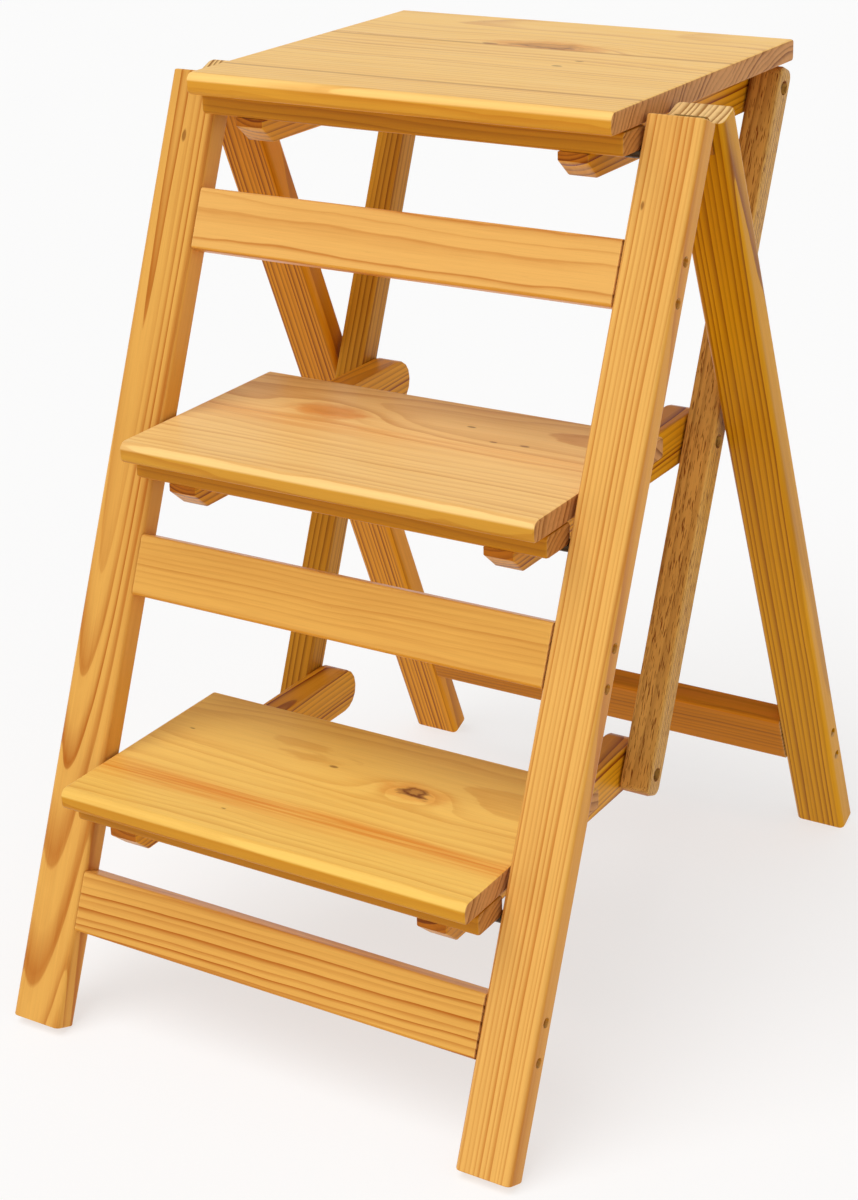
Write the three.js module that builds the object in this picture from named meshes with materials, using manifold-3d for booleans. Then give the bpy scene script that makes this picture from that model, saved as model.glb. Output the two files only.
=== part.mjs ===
// Folding wooden step stool chair, standing open: a front frame that leans back, three treads that swing
// together on a pair of link bars, and a rear frame hinged to the top of the front one.
// Millimetres, +Z up. It is climbed from the -Y side, and +X is on the climber's right.
// The origin is on the floor, under the middle of the open stool.

import * as THREE from "three";
import { mergeVertices } from "three/addons/utils/BufferGeometryUtils.js";
import Module from "manifold-3d";

const DEGREE = Math.PI / 180;

// Whole stool
const WIDTH = 406;
const LEAN = 22.4 * DEGREE; // front frame back from the vertical
const SPREAD = 23 * DEGREE; // rear frame out from the vertical
const FIT = 0.3; // air between pieces that touch
const OVERRUN = 3; // how far a cutter passes the wood
const EASE = 1.2; // broken edges of sawn ends

// Posts: the stringers of the front frame and the legs of the rear frame
const POST_WIDTH = 40.5;
const POST_DEPTH = 20;
const POST_ROUND = 4; // long edges
const STRINGER_HEAD = 22.9; // stringer above the seat's front pivot

// Cross rails, flush between the posts, each held by two screws at each end
const RAIL_HEIGHT = 43;
const RAIL_DEPTH = 19;
const RAIL_ROUND = 2.5;
const STEP_RAIL_DROP = 70.5; // rail centre below the front pivots of its step, along the stringer
const SEAT_RAIL_DROP = 77.5;
const REAR_RAIL_RISE = 93.5; // along the leg from its foot
const RAIL_SCREW_SPACING = 26;

// Wood screws, sunk below the face
const SCREW_SHANK = 2; // radius
const SCREW_HEAD = 3.4; // radius
const SCREW_CONE = 2;
const SCREW_LENGTH = 58;
const SCREW_POINT = 6;
const SCREW_SINK = 4;

// Treads: two steps and the seat
const SEAT_TOP = 640;
const MIDDLE_STEP_SHARE = 0.6390625; // of the seat's height
const BOTTOM_STEP_SHARE = 0.2921875;
const STEP_DEPTH = 178.5;
const STEP_OVERHANG = 49.5; // nose in front of the stringers, at the level of the top face
const SEAT_OVERHANG = 44.8;
const BOARD_THICKNESS = 15;
const BOARD_END_GAP = 2; // between a board's end and the stringer
const BOARD_ROUND = 2.5; // rear edge
const BOARD_EASE = 1.8; // ends
const NOSE_TOP_ROUND = 6;
const NOSE_BOTTOM_ROUND = 4;

// Strip glued under each nose
const STRIP_HEIGHT = 15.5;
const STRIP_DEPTH = 31;
const STRIP_SETBACK = 16;
const STRIP_ROUND = 3;

// Cleats under the boards
const CLEAT_WIDTH = 22.5;
const CLEAT_HEIGHT = 34; // from the board down
const CLEAT_ROUND = 16; // rear end
const CLEAT_TAIL = 26; // wood behind the rear pivot
const SEAT_CLEAT_TAIL = 10.3;
const CLEAT_SETBACK = 2.5; // front end behind the face of the strip
const CLEAT_LAP = 18; // cleat under the strip, which is notched behind that
const CLEAT_NECK = 6; // upright part of the front end, below the strip
const CLEAT_CHAMFER = 14; // length of the slope under it
const CLEAT_EASE = 1.5;
const SEAT_MARGIN = 2; // seat behind the ends of its cleats

// Pivots: each tread turns on the stringers in front and on the link bars behind
const PIVOT_DROP = 32; // axis below the top face of its tread
const PIVOT_ARM = 222.4; // front axis to rear axis
const PIVOT_SHANK = 3.2; // radius
const PIVOT_HEAD = 4.6; // radius
const PIVOT_HEAD_HEIGHT = 3.2;
const PIVOT_GRIP = 25; // depth in the stringer
const PIVOT_BITE = 18; // depth in the cleat
const PIVOT_TIP = 0.8; // sloped ends
const SPACER_RADIUS = 4.4;
const SOCKET_RADIUS = 2.3; // six-sided recess in the screw head
const SOCKET_DEPTH = 2;

// Link bars
const LINK_WIDTH = 23;
const LINK_DEPTH = 21;
const LINK_GAP = 1; // between a link bar and the cleats
const LINK_SIDE_GAP = 3.5; // between a link bar and the posts
const LINK_TOP = 14; // wood above the seat's pivot
const LINK_FOOT = 16; // wood below the bottom step's pivot
const LINK_ROUND = 7; // corners of the ends
const LINK_EASE = 2.5; // long edges
const COUNTERBORE_AIR = 0.6; // round a screw head
const COUNTERBORE_DEPTH = 7;

// Hinges between the stringers and the rear legs
const HINGE_WIDTH = 22;
const HINGE_HEIGHT = 26;
const HINGE_OFFSET = 3.2; // axis to the face of either post
const HINGE_ABOVE = 1.6; // axis above the top end of the stringer
const HINGE_KNUCKLES = 5;
const LEAF_THICKNESS = 1.4;
const HINGE_PIN = 1.3; // radius
const HINGE_PIN_HEAD = 2.1; // radius
const HINGE_PIN_HEAD_HEIGHT = 0.8;
const LEAF_HOLE = 1.5; // radius
const LEAF_HOLE_SPREAD = 12;
const LEAF_HOLE_SPACING = 10;
const LEG_TOP_DROP = 3; // top end of a rear leg below the hinge axis

// Fineness of round forms
const ROUND_SIDES = 14;
const SMALL_SIDES = 10;
const HEX_SIDES = 6;
const CURVE_STEPS = 2;
const NOSE_STEPS = 5;

// Derived places
const POST_INSIDE = WIDTH / 2 - POST_WIDTH;
const POST_MIDDLE = WIDTH / 2 - POST_WIDTH / 2;
const LINK_OUTSIDE = POST_INSIDE - LINK_SIDE_GAP;
const LINK_INSIDE = LINK_OUTSIDE - LINK_WIDTH;
const CLEAT_OUTSIDE = LINK_INSIDE - LINK_GAP;
const CLEAT_INSIDE = CLEAT_OUTSIDE - CLEAT_WIDTH;
const BOARD_END = POST_INSIDE - BOARD_END_GAP;
const PIVOT_BORE = PIVOT_SHANK + FIT;
const FOOT_LIFT = POST_DEPTH * Math.sin(LEAN); // front edge of a stringer's foot above the floor
const SIDES = { left: -1, right: 1 };

// Materials
const wood = (color) => new THREE.MeshStandardMaterial({ color, roughness: 0.42, metalness: 0 });
const PALE_PINE = wood(0xe2b26e);
const TREAD_PINE = wood(0xe6b976);
const HONEY_PINE = wood(0xd09448);
const AMBER_PINE = wood(0xbd7d34);
const BROWN_PINE = wood(0xa3703a);
const metal = (color) => new THREE.MeshStandardMaterial({ color, roughness: 0.35, metalness: 1 });
const STEEL = metal(0x8f8d88);
const BRASS = metal(0xb8924a);

const wasm = await Module();
wasm.setup();

// A closed geometry as a solid for cutting and joining
function solidOf(geometry) {
  const bare = geometry.clone();
  bare.deleteAttribute("normal");
  bare.deleteAttribute("uv");
  const merged = mergeVertices(bare);
  const triVerts = new Uint32Array(merged.index.array);
  const vertProperties = merged.attributes.position.array;
  return new wasm.Manifold(new wasm.Mesh({ numProp: 3, vertProperties, triVerts }));
}

function geometryOf(solid) {
  const mesh = solid.getMesh();
  const geometry = new THREE.BufferGeometry();
  geometry.setAttribute("position", new THREE.BufferAttribute(mesh.vertProperties, 3));
  geometry.setIndex(new THREE.BufferAttribute(mesh.triVerts, 1));
  const flat = geometry.toNonIndexed();
  flat.computeVertexNormals();
  return flat;
}

function cut(geometry, tools) {
  return geometryOf(tools.reduce((rest, tool) => rest.subtract(solidOf(tool)), solidOf(geometry)));
}

function join(geometries) {
  return geometryOf(geometries.map(solidOf).reduce((whole, piece) => whole.add(piece)));
}

// A mesh in its group, at a place given in the group's own axes
function place(group, name, geometry, material, x, y, z) {
  const mesh = new THREE.Mesh(geometry, material);
  mesh.name = name;
  mesh.position.set(x, y, z);
  group.add(mesh);
}

// A rectangle with its four corners rounded
function roundedRectangle(x, y, width, height, radius) {
  const shape = new THREE.Shape();
  const right = x + width;
  const top = y + height;
  shape.moveTo(x + radius, y);
  shape.absarc(right - radius, y + radius, radius, -Math.PI / 2, 0);
  shape.absarc(right - radius, top - radius, radius, 0, Math.PI / 2);
  shape.absarc(x + radius, top - radius, radius, Math.PI / 2, Math.PI);
  shape.absarc(x + radius, y + radius, radius, Math.PI, Math.PI * 1.5);
  return shape;
}

// An outline extruded with its edges broken inwards, so that it keeps its outer size
function extrude(shape, length, ease, steps) {
  const options = { depth: length - 2 * ease, curveSegments: steps, bevelEnabled: ease > 0 };
  Object.assign(options, { bevelThickness: ease, bevelSize: ease, bevelOffset: -ease, bevelSegments: 2 });
  return new THREE.ExtrudeGeometry(shape, options).translate(0, 0, ease);
}

// An outline drawn in Y and Z, extruded along X from one place to another
function acrossX(shape, from, to, ease, steps = CURVE_STEPS) {
  const turn = new THREE.Matrix4().makeBasis(
    new THREE.Vector3(0, 1, 0),
    new THREE.Vector3(0, 0, 1),
    new THREE.Vector3(1, 0, 0),
  );
  return extrude(shape, to - from, ease, steps).applyMatrix4(turn).translate(from, 0, 0);
}

// A round bar along X from one place to another
function rodX(radius, from, to, sides = ROUND_SIDES) {
  const rod = new THREE.CylinderGeometry(radius, radius, to - from, sides);
  return rod.rotateZ(Math.PI / 2).translate((from + to) / 2, 0, 0);
}

// A turned form about X, from pairs of radius and place that run outwards and start and end on the axis
function turnedX(pairs, sides = ROUND_SIDES) {
  const points = pairs.map(([radius, along]) => new THREE.Vector2(radius, along));
  return new THREE.LatheGeometry(points, sides).rotateZ(-Math.PI / 2);
}

// The right-hand form of a turned piece, or the same piece turned round for the left
function onSide(geometry, side) {
  return side > 0 ? geometry : geometry.clone().rotateZ(Math.PI);
}

// Cross rails and their screws, the same in both frames.
// In a frame's own axes, Y runs back from the front face of its posts and Z runs up along them.

// Screw with its head at x = 0 and its point inwards
function screwForm() {
  return turnedX([
    [0, -SCREW_LENGTH],
    [SCREW_SHANK, SCREW_POINT - SCREW_LENGTH],
    [SCREW_SHANK, -SCREW_CONE],
    [SCREW_HEAD, 0],
    [0, 0],
  ], SMALL_SIDES);
}

// The hole for that screw: pilot, countersink, and a straight counterbore out to the face and past it
function screwHole() {
  return turnedX([
    [0, -SCREW_LENGTH - FIT],
    [SCREW_SHANK + FIT, SCREW_POINT - SCREW_LENGTH],
    [SCREW_SHANK + FIT, -SCREW_CONE - FIT],
    [SCREW_HEAD + FIT, -FIT],
    [SCREW_HEAD + FIT, SCREW_SINK + OVERRUN],
    [0, SCREW_SINK + OVERRUN],
  ], SMALL_SIDES);
}

function screwRises(rise) {
  return { lower: rise - RAIL_SCREW_SPACING / 2, upper: rise + RAIL_SCREW_SPACING / 2 };
}

// Screw holes for one side, at the middle of the posts' depth
function railHoles(rises, front, side) {
  const x = side * (WIDTH / 2 - SCREW_SINK);
  const heights = rises.flatMap((rise) => Object.values(screwRises(rise)));
  return heights.map((z) => onSide(screwHole(), side).translate(x, front + POST_DEPTH / 2, z));
}

function addRail(group, name, rise, front, material) {
  const half = POST_INSIDE - FIT;
  const back = front + (POST_DEPTH - RAIL_DEPTH) / 2;
  const section = roundedRectangle(back, rise - RAIL_HEIGHT / 2, RAIL_DEPTH, RAIL_HEIGHT, RAIL_ROUND);
  const holes = Object.values(SIDES).flatMap((side) => railHoles([rise], front, side));
  place(group, name, cut(acrossX(section, -half, half, 0), holes), material, 0, 0, 0);
  for (const [sideName, side] of Object.entries(SIDES)) {
    const x = side * (WIDTH / 2 - SCREW_SINK);
    for (const [level, z] of Object.entries(screwRises(rise))) {
      const screwName = `${name}_screw_${sideName}_${level}`;
      place(group, screwName, onSide(screwForm(), side), STEEL, x, front + POST_DEPTH / 2, z);
    }
  }
}

// A post with rounded long edges, from one height to another, less what is cut out of it
function postForm(side, front, from, to, tools) {
  const inner = side > 0 ? POST_INSIDE : -WIDTH / 2;
  const section = roundedRectangle(inner, front, POST_WIDTH, POST_DEPTH, POST_ROUND);
  return cut(extrude(section, to - from, EASE, CURVE_STEPS).translate(0, 0, from), tools);
}

// Treads: where each front axis lies on the stringers
const pivotDepth = POST_DEPTH / 2;

function treadPlan(name, top, overhang, tail, railDrop) {
  const level = top - PIVOT_DROP;
  const rise = (level - FOOT_LIFT + pivotDepth * Math.sin(LEAN)) / Math.cos(LEAN);
  const y = rise * Math.sin(LEAN) + pivotDepth * Math.cos(LEAN);
  const nose = (top - FOOT_LIFT) * Math.tan(LEAN) - overhang - y;
  return { name, rise, y, z: level, nose, back: nose + STEP_DEPTH, tail, railRise: rise - railDrop };
}

const bottomTop = SEAT_TOP * BOTTOM_STEP_SHARE;
const middleTop = SEAT_TOP * MIDDLE_STEP_SHARE;
const bottomStep = treadPlan("bottom_step", bottomTop, STEP_OVERHANG, CLEAT_TAIL, STEP_RAIL_DROP);
const middleStep = treadPlan("middle_step", middleTop, STEP_OVERHANG, CLEAT_TAIL, STEP_RAIL_DROP);
const seat = treadPlan("seat", SEAT_TOP, SEAT_OVERHANG, SEAT_CLEAT_TAIL, SEAT_RAIL_DROP);
seat.back = PIVOT_ARM + SEAT_CLEAT_TAIL + SEAT_MARGIN;
const treads = [bottomStep, middleStep, seat];
const stringerLength = seat.rise + STRINGER_HEAD;

// Board: rounded nose in front, small rounding behind
function boardShape(nose, back) {
  const shape = new THREE.Shape();
  const bottom = PIVOT_DROP - BOARD_THICKNESS;
  const topRound = nose + NOSE_TOP_ROUND;
  const bottomRound = nose + NOSE_BOTTOM_ROUND;
  shape.moveTo(bottomRound, bottom);
  shape.absarc(back - BOARD_ROUND, bottom + BOARD_ROUND, BOARD_ROUND, -Math.PI / 2, 0);
  shape.absarc(back - BOARD_ROUND, PIVOT_DROP - BOARD_ROUND, BOARD_ROUND, 0, Math.PI / 2);
  shape.absarc(topRound, PIVOT_DROP - NOSE_TOP_ROUND, NOSE_TOP_ROUND, Math.PI / 2, Math.PI);
  shape.absarc(bottomRound, bottom + NOSE_BOTTOM_ROUND, NOSE_BOTTOM_ROUND, Math.PI, Math.PI * 1.5);
  return shape;
}

// Cleat: rebated over the nose strip, sloped below its front end and rounded at its rear end
function cleatShape(nose, tail) {
  const top = PIVOT_DROP - BOARD_THICKNESS - FIT;
  const bottom = top + FIT - CLEAT_HEIGHT;
  const rebate = top - STRIP_HEIGHT - FIT;
  const front = nose + STRIP_SETBACK + CLEAT_SETBACK;
  const lap = nose + STRIP_SETBACK + CLEAT_LAP + FIT;
  const end = PIVOT_ARM + tail;
  const shape = new THREE.Shape();
  shape.moveTo(front, rebate);
  shape.lineTo(front, rebate - CLEAT_NECK);
  shape.lineTo(front + CLEAT_CHAMFER, bottom);
  shape.absarc(end - CLEAT_ROUND, bottom + CLEAT_ROUND, CLEAT_ROUND, -Math.PI / 2, 0);
  shape.absarc(end - CLEAT_ROUND, top - CLEAT_ROUND, CLEAT_ROUND, 0, Math.PI / 2);
  shape.lineTo(lap, top);
  shape.lineTo(lap, rebate);
  return shape;
}

// Nose strip, notched from behind for the cleats and hollowed at its ends for the collars of the pivots
function stripForm(nose) {
  const top = PIVOT_DROP - BOARD_THICKNESS - FIT;
  const bottom = top - STRIP_HEIGHT;
  const front = nose + STRIP_SETBACK;
  const notchStart = front + CLEAT_LAP;
  const notchDepth = STRIP_DEPTH - CLEAT_LAP + OVERRUN;
  const notchHeight = STRIP_HEIGHT + 2 * OVERRUN;
  const section = roundedRectangle(front, bottom, STRIP_DEPTH, STRIP_HEIGHT, STRIP_ROUND);
  const tools = Object.values(SIDES).flatMap((side) => {
    const cleatMiddle = (side * (CLEAT_INSIDE + CLEAT_OUTSIDE)) / 2;
    const notch = new THREE.BoxGeometry(CLEAT_WIDTH + 2 * FIT, notchDepth, notchHeight);
    notch.translate(cleatMiddle, notchStart + notchDepth / 2, bottom + STRIP_HEIGHT / 2);
    const hollow = rodX(SPACER_RADIUS + FIT, CLEAT_OUTSIDE, BOARD_END + OVERRUN);
    return [notch, onSide(hollow, side)];
  });
  return cut(acrossX(section, -BOARD_END, BOARD_END, BOARD_EASE), tools);
}

function addTread(group, plan) {
  const { name, nose, back, tail } = plan;
  const board = acrossX(boardShape(nose, back), -BOARD_END, BOARD_END, BOARD_EASE, NOSE_STEPS);
  place(group, `${name}_board`, board, TREAD_PINE, 0, 0, 0);
  place(group, `${name}_nose_strip`, stripForm(nose), HONEY_PINE, 0, 0, 0);
  for (const [sideName, side] of Object.entries(SIDES)) {
    const from = side > 0 ? CLEAT_INSIDE : -CLEAT_OUTSIDE;
    const blank = acrossX(cleatShape(nose, tail), from, from + CLEAT_WIDTH, CLEAT_EASE);
    const bore = onSide(rodX(PIVOT_BORE, CLEAT_OUTSIDE - PIVOT_BITE, CLEAT_OUTSIDE + OVERRUN), side);
    const rearBore = bore.clone().translate(0, PIVOT_ARM, 0);
    place(group, `${name}_cleat_${sideName}`, cut(blank, [bore, rearBore]), HONEY_PINE, 0, 0, 0);
  }
}

// Front pivot: a pin in the cleat and in the stringer, with a collar across the gap where the link bars run
function frontPivotForm() {
  const start = CLEAT_OUTSIDE - PIVOT_BITE + FIT;
  const collarStart = CLEAT_OUTSIDE + FIT;
  const collarEnd = POST_INSIDE - FIT;
  const end = POST_INSIDE + PIVOT_GRIP - FIT;
  return turnedX([
    [0, start],
    [PIVOT_SHANK - PIVOT_TIP, start],
    [PIVOT_SHANK, start + PIVOT_TIP],
    [PIVOT_SHANK, collarStart],
    [SPACER_RADIUS, collarStart],
    [SPACER_RADIUS, collarEnd],
    [PIVOT_SHANK, collarEnd],
    [PIVOT_SHANK, end - PIVOT_TIP],
    [PIVOT_SHANK - PIVOT_TIP, end],
    [0, end],
  ]);
}

// Rear pivot: a screw through the link bar into the cleat, with its head sunk in the link bar's counterbore
function rearPivotForm() {
  const start = CLEAT_OUTSIDE - PIVOT_BITE + FIT;
  const headSeat = LINK_OUTSIDE - COUNTERBORE_DEPTH + FIT;
  const headTop = headSeat + PIVOT_HEAD_HEIGHT;
  const screw = turnedX([
    [0, start],
    [PIVOT_SHANK - PIVOT_TIP, start],
    [PIVOT_SHANK, start + PIVOT_TIP],
    [PIVOT_SHANK, headSeat],
    [PIVOT_HEAD, headSeat],
    [PIVOT_HEAD, headTop - PIVOT_TIP],
    [PIVOT_HEAD - PIVOT_TIP, headTop],
    [0, headTop],
  ]);
  return cut(screw, [hexSocket(headTop)]);
}

// Six-sided recess, as deep to either side of the face it is cut in
function hexSocket(face) {
  return rodX(SOCKET_RADIUS, face - SOCKET_DEPTH, face + SOCKET_DEPTH, HEX_SIDES);
}

// Link bar, drawn from the bottom step's rear axis along the lean of the front frame
function addLinkBar(group, sideName, side, spacings) {
  const height = LINK_FOOT + Math.max(...spacings) + LINK_TOP;
  const outline = roundedRectangle(-LINK_DEPTH / 2, -LINK_FOOT, LINK_DEPTH, height, LINK_ROUND);
  const from = side > 0 ? LINK_INSIDE : -LINK_OUTSIDE;
  const to = from + LINK_WIDTH;
  const bore = rodX(PIVOT_BORE, from - OVERRUN, to + OVERRUN);
  const sinkFloor = LINK_OUTSIDE - COUNTERBORE_DEPTH;
  const sink = onSide(rodX(PIVOT_HEAD + COUNTERBORE_AIR, sinkFloor, LINK_OUTSIDE + OVERRUN), side);
  const tools = spacings.flatMap((z) => [bore, sink].map((tool) => tool.clone().translate(0, 0, z)));
  const bar = cut(acrossX(outline, from, to, LINK_EASE), tools);
  place(group, `link_bar_${sideName}`, bar, BROWN_PINE, 0, 0, 0);
  treads.forEach((plan, i) => {
    const pivot = onSide(rearPivotForm(), side);
    place(group, `${plan.name}_rear_pivot_${sideName}`, pivot, STEEL, 0, 0, spacings[i]);
  });
}

// One leaf of a hinge about X, hanging from the axis: it lies in front of the axis or behind it,
// and has every other knuckle
function leafForm(towards, first) {
  const seatFace = HINGE_OFFSET - FIT;
  const pitch = HINGE_WIDTH / HINGE_KNUCKLES;
  const plate = new THREE.BoxGeometry(HINGE_WIDTH, LEAF_THICKNESS, HINGE_HEIGHT);
  plate.translate(0, towards * (seatFace - LEAF_THICKNESS / 2), -HINGE_HEIGHT / 2);
  const own = [plate];
  const clearances = [];
  for (let i = 0; i < HINGE_KNUCKLES; i += 1) {
    const from = i * pitch - HINGE_WIDTH / 2;
    if (i % 2 === first) {
      own.push(rodX(seatFace, from + FIT / 2, from + pitch - FIT / 2));
    } else {
      clearances.push(rodX(seatFace + FIT, from - FIT / 2, from + pitch + FIT / 2));
    }
  }
  const bore = rodX(HINGE_PIN + FIT, -HINGE_WIDTH, HINGE_WIDTH, SMALL_SIDES);
  const holes = [-1, 0, 1].map((i) => {
    const drop = -HINGE_HEIGHT / 2 - (Math.abs(i) - 1 / 2) * LEAF_HOLE_SPACING;
    const hole = new THREE.CylinderGeometry(LEAF_HOLE, LEAF_HOLE, 2 * HINGE_OFFSET, SMALL_SIDES);
    return hole.translate((i * LEAF_HOLE_SPREAD) / 2, towards * seatFace, drop);
  });
  return cut(join(own), [...clearances, bore, ...holes]);
}

// Hinge pin with a flat head at each end
function hingePinForm() {
  const half = HINGE_WIDTH / 2 + FIT;
  const end = half + HINGE_PIN_HEAD_HEIGHT;
  return turnedX([
    [0, -end],
    [HINGE_PIN_HEAD, -end],
    [HINGE_PIN_HEAD, -half],
    [HINGE_PIN, -half],
    [HINGE_PIN, half],
    [HINGE_PIN_HEAD, half],
    [HINGE_PIN_HEAD, end],
    [0, end],
  ], SMALL_SIDES);
}

// Front frame: two stringers and three rails, leaning back, with the treads' front pivots
const stool = new THREE.Group();
const frontFrame = new THREE.Group();
frontFrame.rotation.x = -LEAN;
frontFrame.position.z = FOOT_LIFT;
frontFrame.updateMatrix();
stool.add(frontFrame);

const frontRails = { bottom: bottomStep.railRise, middle: middleStep.railRise, top: seat.railRise };
for (const [name, rise] of Object.entries(frontRails)) {
  addRail(frontFrame, `front_rail_${name}`, rise, 0, PALE_PINE);
}
const hingeRise = stringerLength + HINGE_ABOVE;
for (const [sideName, side] of Object.entries(SIDES)) {
  const sockets = treads.map((plan) => {
    const socket = onSide(rodX(PIVOT_BORE, POST_INSIDE - OVERRUN, POST_INSIDE + PIVOT_GRIP), side);
    return socket.translate(0, pivotDepth, plan.rise);
  });
  const holes = railHoles(Object.values(frontRails), 0, side);
  const stringer = postForm(side, 0, 0, stringerLength, [...holes, ...sockets]);
  place(frontFrame, `stringer_${sideName}`, stringer, PALE_PINE, 0, 0, 0);
  for (const plan of treads) {
    const pivot = onSide(frontPivotForm(), side);
    place(frontFrame, `${plan.name}_front_pivot_${sideName}`, pivot, STEEL, 0, pivotDepth, plan.rise);
  }
  const x = side * POST_MIDDLE;
  const hingeY = POST_DEPTH + HINGE_OFFSET;
  place(frontFrame, `hinge_${sideName}_front_leaf`, leafForm(-1, 0), BRASS, x, hingeY, hingeRise);
  place(frontFrame, `hinge_${sideName}_pin`, hingePinForm(), BRASS, x, hingeY, hingeRise);
}

// Treads, each in a level group at its own front axis
for (const plan of treads) {
  const group = new THREE.Group();
  group.position.set(0, plan.y, plan.z);
  addTread(group, plan);
  stool.add(group);
}

// Link bars, parallel to the stringers through the treads' rear axes
for (const [sideName, side] of Object.entries(SIDES)) {
  const group = new THREE.Group();
  group.rotation.x = -LEAN;
  group.position.set(0, bottomStep.y + PIVOT_ARM, bottomStep.z);
  addLinkBar(group, sideName, side, treads.map((plan) => plan.rise - bottomStep.rise));
  stool.add(group);
}

// Rear frame: two legs and a rail, turned out about the hinge axis until its feet reach the floor
const rearFrame = new THREE.Group();
rearFrame.position.set(0, POST_DEPTH + HINGE_OFFSET, hingeRise).applyMatrix4(frontFrame.matrix);
rearFrame.rotation.x = SPREAD;
const legFoot = -(rearFrame.position.z + HINGE_OFFSET * Math.sin(SPREAD)) / Math.cos(SPREAD);
stool.add(rearFrame);

const rearRailRise = legFoot + REAR_RAIL_RISE;
addRail(rearFrame, "rear_rail", rearRailRise, HINGE_OFFSET, AMBER_PINE);
for (const [sideName, side] of Object.entries(SIDES)) {
  const holes = railHoles([rearRailRise], HINGE_OFFSET, side);
  const leg = postForm(side, HINGE_OFFSET, legFoot, -LEG_TOP_DROP, holes);
  place(rearFrame, `rear_leg_${sideName}`, leg, AMBER_PINE, 0, 0, 0);
  place(rearFrame, `hinge_${sideName}_rear_leaf`, leafForm(1, 1), BRASS, side * POST_MIDDLE, 0, 0);
}

// Stand the stool on the floor, centred front to back
const bounds = new THREE.Box3().setFromObject(stool, true);
stool.position.set(0, -(bounds.min.y + bounds.max.y) / 2, -bounds.min.z);

export default stool;
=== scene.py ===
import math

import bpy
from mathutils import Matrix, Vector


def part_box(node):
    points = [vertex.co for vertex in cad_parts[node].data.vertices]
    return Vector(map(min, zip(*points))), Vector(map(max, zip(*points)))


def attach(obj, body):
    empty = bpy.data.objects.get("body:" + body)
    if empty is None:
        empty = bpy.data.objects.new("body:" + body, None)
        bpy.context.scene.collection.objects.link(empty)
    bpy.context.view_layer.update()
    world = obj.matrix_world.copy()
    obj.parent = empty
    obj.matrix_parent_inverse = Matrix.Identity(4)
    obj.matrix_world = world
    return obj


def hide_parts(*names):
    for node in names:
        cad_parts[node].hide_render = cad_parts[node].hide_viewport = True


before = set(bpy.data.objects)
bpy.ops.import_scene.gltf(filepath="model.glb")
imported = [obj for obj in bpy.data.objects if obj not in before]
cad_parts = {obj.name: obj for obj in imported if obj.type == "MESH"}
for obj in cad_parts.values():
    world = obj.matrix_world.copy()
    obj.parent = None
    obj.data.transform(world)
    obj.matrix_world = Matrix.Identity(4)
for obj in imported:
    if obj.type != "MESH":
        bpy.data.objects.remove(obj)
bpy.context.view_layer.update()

# Folding step stool chair of clear varnished pine, in metres, in the frame of the CAD part:
# +Z up, climbed from -Y, +X on the climber's right.
# The solids of the part carry the shapes. Here they get smooth roundings, solid wood grain plank by
# plank and plated metal, and the scene adds the small screws, the camera, the lamps, the floor and
# the world.

MM = 0.001
LEAN = math.radians(22.4)
SPREAD = math.radians(23)

# Directions of the grain, and of the way across a plank
UP_FRONT = (0, math.sin(LEAN), math.cos(LEAN))
UP_REAR = (0, -math.sin(SPREAD), math.cos(SPREAD))
X_AXIS = (1, 0, 0)
Y_AXIS = (0, 1, 0)

TREADS = ("bottom_step", "middle_step", "seat")
SIDES = ("left", "right")

SMOOTH_ANGLE = math.radians(38)
WELD_DISTANCE = 2e-6


# Node helper

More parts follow.
